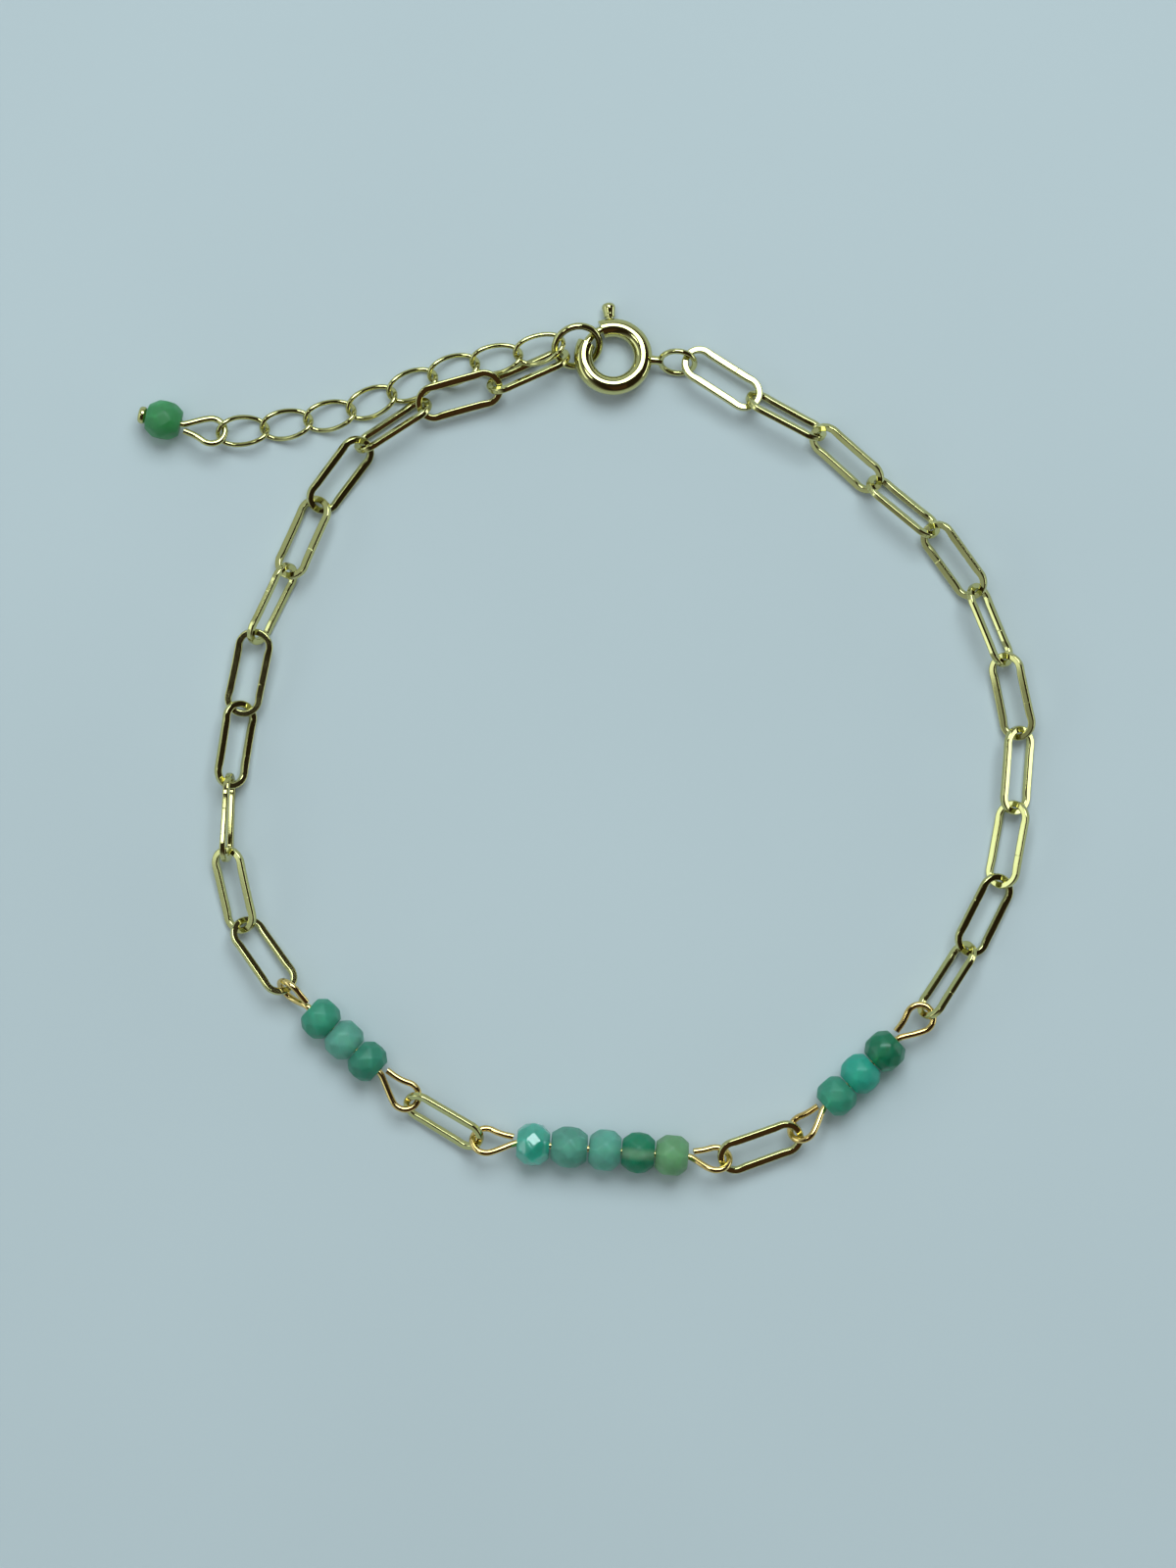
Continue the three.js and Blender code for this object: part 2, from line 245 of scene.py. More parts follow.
def faces_out(face: bmesh.types.BMFace) -> bool:
    """Say whether a face is the far end of a rod along X."""
    return face.normal.x > 0.9


def weld(piece: Piece, distance: float = 0.002) -> None:
    """Merge corners that meet and turn all faces outwards.

    Args:
        piece: Object to weld.
        distance: Merge distance in millimetres.
    """
    start_edit(piece)
    bpy.ops.mesh.remove_doubles(threshold=distance)
    select_whole()
    bpy.ops.mesh.normals_make_consistent(inside=False)
    end_edit()


def carve(piece: Piece, tool: Piece, way: str) -> None:
    """Join another shape to a piece, or cut it out, and drop the tool.

    Args:
        piece: Object that stays.
        tool: Object that is joined or cut out.
        way: UNION or DIFFERENCE.
    """
    pick(piece)
    cut = piece.modifiers.new("carve", "BOOLEAN")
    cut.operation = way
    cut.object = tool
    cut.solver = "EXACT"
    bpy.ops.object.modifier_apply(modifier=cut.name)
    dropped(tool)


def soften_edges(piece: Piece, width: float, angle: float, segments: int = 2) -> None:
    """Round off the sharp edges of a piece.

    Args:
        piece: Object to soften.
        width: Width of the rounding in millimetres.
        angle: Edges sharper than this many degrees are rounded.
        segments: Steps of the rounding.
    """
    pick(piece)
    bevel = piece.modifiers.new("soften", "BEVEL")
    bevel.width = width
    bevel.segments = segments
    bevel.limit_method = "ANGLE"
    bevel.angle_limit = math.radians(angle)
    bpy.ops.object.modifier_apply(modifier=bevel.name)


def even_flats(piece: Piece) -> None:
    """Let the pressed flats shade as flats, and only the edges between them as rounds.

    Args:
        piece: Smooth-shaded object.
    """
    pick(piece)
    bpy.ops.object.modifier_add(type="WEIGHTED_NORMAL")
    even = piece.modifiers[-1]
    even.weight = 100
    even.keep_sharp = True
    bpy.ops.object.modifier_apply(modifier=even.name)


def smooth(piece: Piece, angle: float = 40.0) -> None:
    """Shade a piece smooth, with edges sharper than an angle kept.

    Args:
        piece: Object to shade.
        angle: Angle in degrees.
    """
    pick(piece)
    bpy.ops.object.shade_smooth_by_angle(angle=math.radians(angle))


def turned(points: Sequence[Vector], degrees: float) -> Path:
    """Roll points about X.

    Args:
        points: Points to roll.
        degrees: Angle, by the right-hand rule.

    Returns:
        The rolled points.
    """
    roll = Matrix.Rotation(math.radians(degrees), 3, "X")
    return [roll @ point for point in points]


def rod(radius: float, length: float, start: float, sides: int) -> Piece:
    """Add a round rod that runs along X.

    Args:
        radius: Radius of the rod.
        length: Length of the rod.
        start: Where its near end lies.
        sides: Sides of its section.

    Returns:
        The rod, with its place in its mesh.
    """
    clear_selection()
    bpy.ops.mesh.primitive_cylinder_add(
        vertices=sides,
        radius=radius,
        depth=length,
        location=(start + length / 2, 0, 0),
        rotation=(0, math.pi / 2, 0),
    )
    settle()
    return bpy.context.object


def bent_wire(points: Sequence[Vector], diameter: float, closed: bool, sides: int = 14) -> Piece:
    """Bend round wire along a path: a loop of edges, made a curve, given its section and made a mesh.

    Args:
        points: Middle line of the wire in millimetres.
        diameter: Diameter of the wire.
        closed: Whether the wire meets itself.
        sides: Sides of its section.

    Returns:
        The wire, open ends capped and rounded off.
    """
    clear_selection()
    bpy.ops.mesh.primitive_circle_add(vertices=len(points), radius=1.0, fill_type="NOTHING")
    piece = bpy.context.object
    for corner, point in zip(piece.data.vertices, points):
        corner.co = point
    if not closed:
        start_edit(piece)
        bpy.ops.mesh.select_mode(type="EDGE")
        bpy.ops.mesh.select_all(action="DESELECT")
        net = bmesh.from_edit_mesh(piece.data)
        net.verts.ensure_lookup_table()
        ends = {net.verts[0], net.verts[len(points) - 1]}
        for edge in net.edges:
            if set(edge.verts) == ends:
                edge.select_set(True)
        bmesh.update_edit_mesh(piece.data)
        bpy.ops.mesh.delete(type="EDGE")
        end_edit()
    pick(piece)
    bpy.ops.object.convert(target="CURVE")
    piece = bpy.context.object
    piece.data.dimensions = "3D"
    piece.data.twist_mode = "MINIMUM"
    piece.data.bevel_depth = diameter / 2
    piece.data.bevel_resolution = max(1, sides // 2 - 2)
    piece.data.use_fill_caps = not closed
    bpy.ops.object.convert(target="MESH")
    piece = bpy.context.object
    weld(piece)
    if not closed:
        start_edit(piece)
        select_where(piece, "FACE", is_end_cap)
        bpy.ops.mesh.bevel(offset=diameter * END_ROUNDING, segments=2, affect="EDGES")
        end_edit()
    smooth(piece, 50.0)
    return piece


def spun(section: Piece, centre: Vector, degrees: float, steps: int) -> None:
    """Sweep the selected end of an open piece round an upright axis.

    Args:
        section: Object in edit mode with its end face selected.
        centre: Point on the axis.
        degrees: Angle, by the right-hand rule about Z.
        steps: Steps of the sweep.
    """
    net = bmesh.from_edit_mesh(section.data)
    start = [corner.co.copy() for corner in net.verts if corner.select]
    middle = sum(start, Vector()) / len(start)
    turn = math.radians(degrees)
    bpy.ops.mesh.spin(steps=steps, angle=-turn, center=centre, axis=UP)
    wanted = centre + Matrix.Rotation(turn, 3, "Z") @ (middle - centre)
    net = bmesh.from_edit_mesh(section.data)
    reached = [corner.co for corner in net.verts if corner.select]
    error = (sum(reached, Vector()) / len(reached) - wanted).length
    if error > SWEEP_SLACK:
        raise ValueError(f"the sweep ended {error:.3f} mm off")


def placed(piece: Piece, name: str, pose: Pose) -> Piece:
    """Lay a piece made about the origin where it belongs, with its place in its mesh.

    Args:
        piece: Object made in millimetres.
        name: Name that it gets.
        pose: Where it lies.

    Returns:
        The same object.
    """
    pick(piece)
    piece.name = name
    piece.data.name = name
    piece.matrix_world = pose.matrix()
    settle()
    return piece


def copied(master: Piece) -> Piece:
    """Copy a piece with a mesh of its own.

    Args:
        master: Object to copy.

    Returns:
        The copy.
    """
    pick(master)
    bpy.ops.object.duplicate(linked=False)
    return bpy.context.object


# Finishes


def add_node(
    tree: Tree, kind: str, inputs: dict[str | int, object] | None = None, **traits: object
) -> bpy.types.Node:
    """Add a node to a tree.

    Args:
        tree: Tree that gets the node.
        kind: Type of the node.
        inputs: Socket name or number to its constant.
        traits: Settings of the node itself, such as its operation.

    Returns:
        The node.
    """
    node = tree.nodes.new(kind)
    for name, value in traits.items():
        setattr(node, name, value)
    for name, value in (inputs or {}).items():
        node.inputs[name].default_value = value
    return node


def join(tree: Tree, *wires: Wire) -> None:
    """Connect nodes of a tree.

    Args:
        tree: Tree that holds the nodes.
        wires: Each a node, its output, the next node and its input.
    """
    for source, output, target, entry in wires:
        tree.links.new(source.outputs[output], target.inputs[entry])


def new_group(name: str, inputs: dict[str, tuple[str, object]], outputs: dict[str, str]) -> Tree:
    """Start a shader node group with named sockets.

    Args:
        name: Name of the group.
        inputs: Socket name to its type and default value.
        outputs: Socket name to its type.

    Returns:
        The group, with its input and output nodes named in and out.
    """
    tree = bpy.data.node_groups.new(name, "ShaderNodeTree")
    for label, (kind, value) in inputs.items():
        socket = tree.interface.new_socket(name=label, in_out="INPUT", socket_type=kind)
        socket.default_value = value
    for label, kind in outputs.items():
        tree.interface.new_socket(name=label, in_out="OUTPUT", socket_type=kind)
    tree.nodes.new("NodeGroupInput").name = "in"
    tree.nodes.new("NodeGroupOutput").name = "out"
    return tree


def polish_group() -> Tree:
    """Build the traces that polishing leaves: a faint haze, fine rubbing lines and a soft unevenness.

    Returns:
        Group that puts out a roughness and a height.
    """
    tree = new_group(
        "polish_traces",
        {
            "Vector": ("NodeSocketVector", (0.0, 0.0, 0.0)),
            "Roughness": ("NodeSocketFloat", 0.1),
            "Haze": ("NodeSocketFloat", 0.06),
        },
        {"Roughness": "NodeSocketFloat", "Height": "NodeSocketFloat"},
    )
    enter, leave = tree.nodes["in"], tree.nodes["out"]
    haze = add_node(tree, "ShaderNodeTexNoise", {"Scale": 900.0, "Detail": 4.0})
    lines = add_node(tree, "ShaderNodeTexNoise", {"Scale": 1.0, "Detail": 2.0})
    stretch = add_node(
        tree, "ShaderNodeMapping", {"Scale": (9000.0, 1400.0, 5000.0), "Rotation": (0.3, 0.5, 0.7)}
    )
    spread = add_node(tree, "ShaderNodeMath", operation="MULTIPLY_ADD")
    mixed = add_node(tree, "ShaderNodeMath", {1: 0.35}, operation="MULTIPLY_ADD")
    join(
        tree,
        (enter, "Vector", haze, "Vector"),
        (enter, "Vector", stretch, "Vector"),
        (stretch, "Vector", lines, "Vector"),
        (haze, "Fac", spread, 0),
        (enter, "Haze", spread, 1),
        (enter, "Roughness", spread, 2),
        (spread, "Value", leave, "Roughness"),
        (lines, "Fac", mixed, 0),
        (haze, "Fac", mixed, 2),
        (mixed, "Value", leave, "Height"),
    )
    return tree


def cloud_group() -> Tree:
    """Build the cloudy body of a stone: two tones drifting into each other, with pale veils, painted facet
    reflections and a painted glow along the wire.

    Returns:
        Group that puts out a colour and a veil mask.
    """
    tree = new_group(
        "stone_clouds",
        {
            "Vector": ("NodeSocketVector", (0.0, 0.0, 0.0)),
            "Dark": ("NodeSocketColor", (0.05, 0.25, 0.15, 1.0)),
            "Light": ("NodeSocketColor", (0.2, 0.5, 0.4, 1.0)),
            "Veil": ("NodeSocketColor", (0.5, 0.75, 0.68, 1.0)),
            "Wire Glow Tone": ("NodeSocketColor", (0.3, 0.5, 0.4, 1.0)),
            "Wire Glow Share": ("NodeSocketFloat", 0.0),
            "Middle": ("NodeSocketFloat", 0.0),
            "Facet Light": ("NodeSocketFloat", 0.5),
            "Drift": ("NodeSocketFloat", 640.0),
        },
        {"Color": "NodeSocketColor", "Veil": "NodeSocketFloat"},
    )
    enter, leave = tree.nodes["in"], tree.nodes["out"]
    drift = add_node(tree, "ShaderNodeTexNoise", {"Detail": 3.0, "Distortion": 0.6})
    veils = add_node(tree, "ShaderNodeTexNoise", {"Scale": 1100.0, "Detail": 5.0, "Distortion": 1.4})
    # lift adds the painted facet reflection tone to the drift, making some facets lighter and others darker.
    lift = add_node(tree, "ShaderNodeMath", operation="ADD")
    tone = add_node(tree, "ShaderNodeMapRange", {"From Min": 0.62, "From Max": 1.38})
    band = add_node(tree, "ShaderNodeMapRange", {"From Min": 0.55, "From Max": 0.8, "To Max": 0.45})
    body = add_node(tree, "ShaderNodeMix", data_type="RGBA")
    misted = add_node(tree, "ShaderNodeMix", data_type="RGBA")
    # ring and the mix after it paint a pale glow near the wire, standing in for light seen through the stone.
    ring = add_node(tree, "ShaderNodeMath", operation="MULTIPLY")
    glowing = add_node(tree, "ShaderNodeMix", data_type="RGBA")
    join(
        tree,
        (enter, "Vector", drift, "Vector"),
        (enter, "Drift", drift, "Scale"),
        (enter, "Vector", veils, "Vector"),
        (drift, "Fac", lift, 0),
        (enter, "Facet Light", lift, 1),
        (lift, "Value", tone, "Value"),
        (tone, "Result", body, "Factor"),
        (enter, "Dark", body, "A"),
        (enter, "Light", body, "B"),
        (veils, "Fac", band, "Value"),
        (band, "Result", misted, "Factor"),
        (body, "Result", misted, "A"),
        (enter, "Veil", misted, "B"),
        (enter, "Middle", ring, 0),
        (enter, "Wire Glow Share", ring, 1),
        (ring, "Value", glowing, "Factor"),
        (misted, "Result", glowing, "A"),
        (enter, "Wire Glow Tone", glowing, "B"),
        (glowing, "Result", leave, "Color"),
        (band, "Result", leave, "Veil"),
    )
    return tree


@dataclass(frozen=True)
class GoldFinish:
    """Polished gold: its colour where clean and where tarnished, and how sharp its gloss is."""

    metal: Metal
    clean: Tone
    tarnish: Tone
    roughness: float
    haze: float

    def material(self, polish: Tree) -> bpy.types.Material:
        """Build the node material.

        Args:
            polish: Group that gives the polishing traces.

        Returns:
            The material.
        """
        made = bpy.data.materials.new(self.metal.value)
        made.use_nodes = True
        tree = made.node_tree
        shader = tree.nodes["Principled BSDF"]
        shader.inputs["Metallic"].default_value = 1.0
        place = add_node(tree, "ShaderNodeTexCoord")
        traces = add_node(
            tree, "ShaderNodeGroup", {"Roughness": self.roughness, "Haze": self.haze}, node_tree=polish
        )
        film = add_node(tree, "ShaderNodeTexNoise", {"Scale": 380.0, "Detail": 3.0})
        share = add_node(tree, "ShaderNodeMapRange", {"From Min": 0.45, "From Max": 0.8})
        ends = {"A": (*self.clean, 1.0), "B": (*self.tarnish, 1.0)}
        tint = add_node(tree, "ShaderNodeMix", ends, data_type="RGBA")
        relief = add_node(tree, "ShaderNodeBump", {"Strength": 0.05, "Distance": 0.00001})
        join(
            tree,
            (place, "Object", traces, "Vector"),
            (place, "Object", film, "Vector"),
            (film, "Fac", share, "Value"),
            (share, "Result", tint, "Factor"),
            (tint, "Result", shader, "Base Color"),
            (traces, "Roughness", shader, "Roughness"),
            (traces, "Height", relief, "Height"),
            (relief, "Normal", shader, "Normal"),
        )
        return made


@dataclass(frozen=True)
class StoneFinish:
    """A milky cut stone: its tone, how far the tone drifts, how clear it is, its polish and its painted glow
    along the wire.
    """

    tone: Tone
    lightness: float = 1.0
    drift: float = 0.25
    clearness: float = 0.6
    milk: float = 1.0
    roughness: float = 0.45
    gloss: float = 0.03
    glint: float = 1.5
    # Share and tone of a painted pale glow along the wire, standing in for light seen through the stone.
    wire_glow: float = 0.0
    wire_glow_tone: Tone = (0.30, 0.50, 0.40)

    def shade(self, share: float) -> tuple[float, float, float, float]:
        """Give the tone, darkened or lightened by a share."""
        return (*(min(1.0, part * share * self.lightness) for part in self.tone), 1.0)

    def material(self, name: str, clouds: Tree) -> bpy.types.Material:
        """Build the node material.

        Args:
            name: Name of the material.
            clouds: Group that gives the cloudy body.

        Returns:
            The material.
        """
        made = bpy.data.materials.new(name)
        made.use_nodes = True
        tree = made.node_tree
        shader = tree.nodes["Principled BSDF"]
        shader.inputs["IOR"].default_value = 1.55
        shader.inputs["Specular IOR Level"].default_value = 0.18
        shader.inputs["Coat Weight"].default_value = self.gloss
        shader.inputs["Coat Roughness"].default_value = 0.04
        shader.inputs["Coat IOR"].default_value = self.glint
        shader.inputs["Transmission Weight"].default_value = self.clearness
        shader.inputs["Subsurface Weight"].default_value = self.milk
        shader.inputs["Subsurface Radius"].default_value = (0.5, 1.0, 0.8)
        shader.inputs["Subsurface Scale"].default_value = 0.0024
        place = add_node(tree, "ShaderNodeTexCoord")
        # Reads the bead's painted light: a reflection tone per facet and the nearness to the painted glow
        # along the wire.
        cut = add_node(tree, "ShaderNodeAttribute", attribute_name=PAINTED_FACET_LIGHT)
        parts = add_node(tree, "ShaderNodeSeparateColor")
        tones = {
            "Dark": self.shade(1.0 - self.drift),
            "Light": self.shade(1.0 + self.drift),
            "Veil": self.shade(1.0 + 1.6 * self.drift),
            "Wire Glow Tone": (*self.wire_glow_tone, 1.0),
            "Wire Glow Share": self.wire_glow,
        }
        body = add_node(tree, "ShaderNodeGroup", tones, node_tree=clouds)
        dull = add_node(tree, "ShaderNodeMath", {1: 0.2, 2: self.roughness}, operation="MULTIPLY_ADD")
        join(
            tree,
            (place, "Object", body, "Vector"),
            (cut, "Color", parts, "Color"),
            (parts, "Red", body, "Facet Light"),
            (parts, "Green", body, "Middle"),
            (body, "Color", shader, "Base Color"),
            (body, "Veil", dull, 0),
            (dull, "Value", shader, "Roughness"),
        )
        return made


GOLDS = (
    GoldFinish(Metal.PALE, (0.62, 0.58, 0.25), (0.55, 0.5, 0.19), 0.06, 0.05),
    GoldFinish(Metal.WARM, (0.84, 0.62, 0.24), (0.74, 0.48, 0.15), 0.07, 0.06),
)


class Workshop:
    """Holds the finishes and hands finished pieces over to the frame."""

    def __init__(self) -> None:
        """Build every finish once."""
        polish = polish_group()
        self.clouds = cloud_group()
        self.golds = {gold.metal: gold.material(polish) for gold in GOLDS}

    def gilded(self, piece: Piece, node: str, metal: Metal, body: str = BRACELET) -> None:
        """Dress a piece in gold and let it stand for its solid.

        Args:
            piece: Finished object.
            node: Solid that it stands for.
            metal: Gold that it gets.
            body: Body that it rides on.
        """
        self.hand_over(piece, node, self.golds[metal], metal.value, body)

    def stoned(self, piece: Piece, node: str, finish: StoneFinish, stone: Stone) -> None:
        """Dress a bead in its own stone and let it stand for its solid.

        Args:
            piece: Finished object.
            node: Solid that it stands for.
            finish: The bead's own finish.
            stone: Slot that it belongs to.
        """
        self.hand_over(piece, node, finish.material(f"stone_of_{node}", self.clouds), stone.value, BRACELET)

    @staticmethod
    def hand_over(piece: Piece, node: str, coat: bpy.types.Material, slot: str, body: str) -> None:
        """Put the material on a piece, attach it to its body and hide the solid that it stands for.

        Args:
            piece: Finished object.
            node: Solid that it stands for.
            coat: Material that it gets.
            slot: Slot that the material belongs to; not used.
            body: Body that it rides on.
        """
        piece.data.materials.clear()
        piece.data.materials.append(coat)
        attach(piece, body)
        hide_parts(node)
        LOG.info("%s: %d faces", piece.name, len(piece.data.polygons))


# Sub-assemblies


@dataclass
class DrawnChain:
    """The long links: two legs and two round ends of wire that was pressed flat."""

    length: float = 6.26
    width: float = 2.68
    wire: float = 0.44
    face: float = 0.54
    thickness: float = 0.42
    corner: float = 0.12
    bend_face: float = 0.47
    bend_thickness: float = 0.44
    press_run: float = 0.9
    seam_at: float = 0.62
    seam_half: float = 0.03
    seam_depth: float = 0.012
    close: float = 0.004
    leg_steps: int = 16
    arc_steps: int = 18
    seed: int = 11
    bow: tuple[float, float] = (-0.048, 0.024)
    twist: float = 2.2
    names: list[str] = field(default_factory=list)

    def __post_init__(self) -> None:
        """List the links by name, in the order of the loop."""
        right = [f"link_right_{i:02d}" for i in range(1, 12)]
        left = [f"link_left_{i:02d}" for i in range(11, 0, -1)]
        self.names = [*right, "link_between_right", "link_between_left", *left]

    def model(self) -> Piece:
        """Shape one link, flat about the origin.

        Returns:
            The link.
        """
        bend = (self.width - self.wire) / 2
        leg = (self.length - self.wire) / 2 - bend
        clear_selection()
        bpy.ops.mesh.primitive_plane_add(size=1.0, location=(0, 0, 0), rotation=(0, math.pi / 2, 0))
        link = bpy.context.object
        settle()
        start_edit(link)
        bpy.ops.transform.resize(value=(1.0, self.face, self.thickness), center_override=(0, 0, 0))
        bpy.ops.transform.translate(value=(-leg, bend, 0.0))
        bpy.ops.mesh.bevel(offset=self.corner, segments=4, affect="VERTICES")
        select_whole()
        bpy.ops.mesh.select_mode(type="FACE")
        for step in self.seam_steps(leg):
            self.run(step)
        spun(link, Vector((leg, 0, 0)), -180.0, self.arc_steps)
        for _ in range(self.leg_steps):
            self.run(-2 * leg / self.leg_steps)
        spun(link, Vector((-leg, 0, 0)), -180.0, self.arc_steps)
        select_where(link, "FACE", is_end_cap)
        bpy.ops.mesh.delete(type="ONLY_FACE")
        end_edit()
        weld(link, self.close)
        start_edit(link)
        select_where(link, "VERT", lambda c: abs(c.co.x - self.seam_at) < self.close and c.co.y > 0)
        bpy.ops.transform.shrink_fatten(value=-self.seam_depth)
        end_edit()
        self.press(link, leg, bend)
        smooth(link, 60.0)
        even_flats(link)
        return link

    def press(self, link: Piece, leg: float, bend: float) -> None:
        """Leave the wire round at the bends, so that only the legs are pressed flat, spreading inwards.

        Args:
            link: Link about the origin.
            leg: Half the length of a leg.
            bend: Radius of the bends' middle line.
        """
        for corner in link.data.vertices:
            point = corner.co
            past = abs(point.x) - leg
            share = min(1.0, max(0.0, (past + self.press_run / 2) / self.press_run))
            share = share * share * (3 - 2 * share)
            wide = 1 + share * (self.bend_face / self.face - 1)
            thick = 1 + share * (self.bend_thickness / self.thickness - 1)
            middle = Vector((math.copysign(leg, point.x), 0.0)) if past > 0 else Vector((point.x, 0.0))
            away = point.xy - middle
            inward = (1 - share) * (self.face - self.wire) / 2
            spot = middle + away.normalized() * (bend + (away.length - bend) * wide - inward)
            corner.co = (spot.x, spot.y, point.z * thick)

    def seam_steps(self, leg: float) -> list[float]:
        """Divide the leg with the joint into steps, the short ones about the joint.

        Args:
            leg: Half the leg's length.

        Returns:
            Lengths of the steps.
        """
        reach = 2 * self.seam_half
        before = self.seam_at - reach + leg
        after = leg - self.seam_at - reach
        count = self.leg_steps // 2
        tight = [self.seam_half] * 4
        return [before / count] * count + tight + [after / count] * count

    @staticmethod
    def run(step: float) -> None:
        """Draw the selected end of a leg on along X.

        Args:
            step: Length in millimetres.
        """
        bpy.ops.mesh.extrude_region_move(TRANSFORM_OT_translate={"value": (step, 0.0, 0.0)})

    def wrench(self, link: Piece, rng: random.Random) -> None:
        """Give a link the small bow and twist of a hand-closed one.

        Args:
            link: Link about the origin.
            rng: Source of this chain's small differences.
        """
        bows = [rng.uniform(*self.bow) for _ in range(2)]
        twist = math.radians(rng.uniform(-1.0, 1.0) * self.twist)
        half = self.length / 2
        for corner in link.data.vertices:
            point = corner.co
            share = 1.0 - (point.x / half) ** 2
            point.y += (bows[0] if point.y > 0 else -bows[1]) * max(0.0, share)
            corner.co = Matrix.Rotation(twist * point.x / half, 3, "X") @ point

    def build(self, shop: Workshop) -> None:
        """Make every link of the chain.

        Args:
            shop: Gives the finish.
        """
        rng = random.Random(self.seed)
        master = self.model()
        for name in self.names:
            link = copied(master)
            self.wrench(link, rng)
            if rng.random() < 0.5:
                link.data.transform(Matrix.Rotation(math.pi, 4, "Z"))
            placed(link, f"drawn_{name}", Pose.of_ring(name))
            shop.gilded(link, name, Metal.PALE)
        dropped(master)


@dataclass
class Extender:
    """The short chain of twisted curb links."""

    count: int = 8
    half_length: float = 1.76
    half_width: float = 0.96
    twist: float = 0.42
    wire: float = 0.34
    steps: int = 56

    def model(self) -> Piece:
        """Bend one curb link about the origin.

        Returns:
            The link.
        """
        path = []
        for i in range(self.steps):
            turn = 2 * math.pi * i / self.steps
            lift = -self.twist * math.sin(2 * turn)
            path.append(Vector((self.half_length * math.cos(turn), self.half_width * math.sin(turn), lift)))
        return bent_wire(path, self.wire, closed=True)

    def build(self, shop: Workshop) -> None:
        """Make every link of the extender.

        Args:
            shop: Gives the finish.
        """
        master = self.model()
        for i in range(1, self.count + 1):
            node = f"extender_link_{i}"
            link = placed(copied(master), f"curb_{node}", Pose.of_ring(node))
            shop.gilded(link, node, Metal.PALE)
        dropped(master)


@dataclass(frozen=True)
class Eye:
    """The bent eye at a wire's end: its roll about the wire and its reach from the bead."""

    roll: float
    reach: float
    radius: float = 0.95
    free_end: tuple[float, float] = (0.3, 0.46)
    wire: float = 0.46
    out_turn: float = 114.0
    back_turn: float = 118.0
    neck: float = 0.3
    steps: int = 40

    def path(self, side: int) -> Path:
        """Give the middle line from the bead's face, out on one side, round, and back to the free end.

        Args:
            side: 1 to go out on the left, -1 on the right.

        Returns:
            Points along +X in millimetres.
        """
        centre = self.reach - self.radius
        arc = []
        for i in range(self.steps + 1):
            turn = math.radians(self.out_turn - (self.out_turn + self.back_turn) * i / self.steps)
            spot = (centre + self.radius * math.cos(turn), self.radius * math.sin(turn), 0.0)
            arc.append(Vector(spot))
        leave = (arc[1] - arc[0]).normalized()
        back = (arc[-1] - arc[-2]).normalized()
        tip = Vector((self.free_end[0], -self.free_end[1], 0.0))
        reach = 0.4 * (centre - self.free_end[0])
        out_leg = self.bow(Vector(), Vector((self.neck, 0.0, 0.0)), arc[0] - leave * reach, arc[0])
        home = (tip - arc[-1]).normalized() * self.neck
        back_leg = self.bow(arc[-1], arc[-1] + back * reach, tip - home, tip)
        whole = [*out_leg[:-1], *arc, *back_leg[1:]]
        return turned([Vector((p.x, side * p.y, p.z)) for p in whole], self.roll)

    @staticmethod
    def bow(a: Vector, b: Vector, c: Vector, d: Vector, steps: int = 12) -> Path:
        """Give a smooth bow from one point to another.

        Args:
            a: Start.
            b: Point that the bow leaves towards.
            c: Point that the bow comes from.
            d: End.
            steps: Steps of the bow.

        Returns:
            Points from start to end.
        """
        points = []
        for i in range(steps + 1):
            t = i / steps
            u = 1.0 - t
            points.append(a * u**3 + b * (3 * u * u * t) + c * (3 * u * t * t) + d * t**3)
        return points


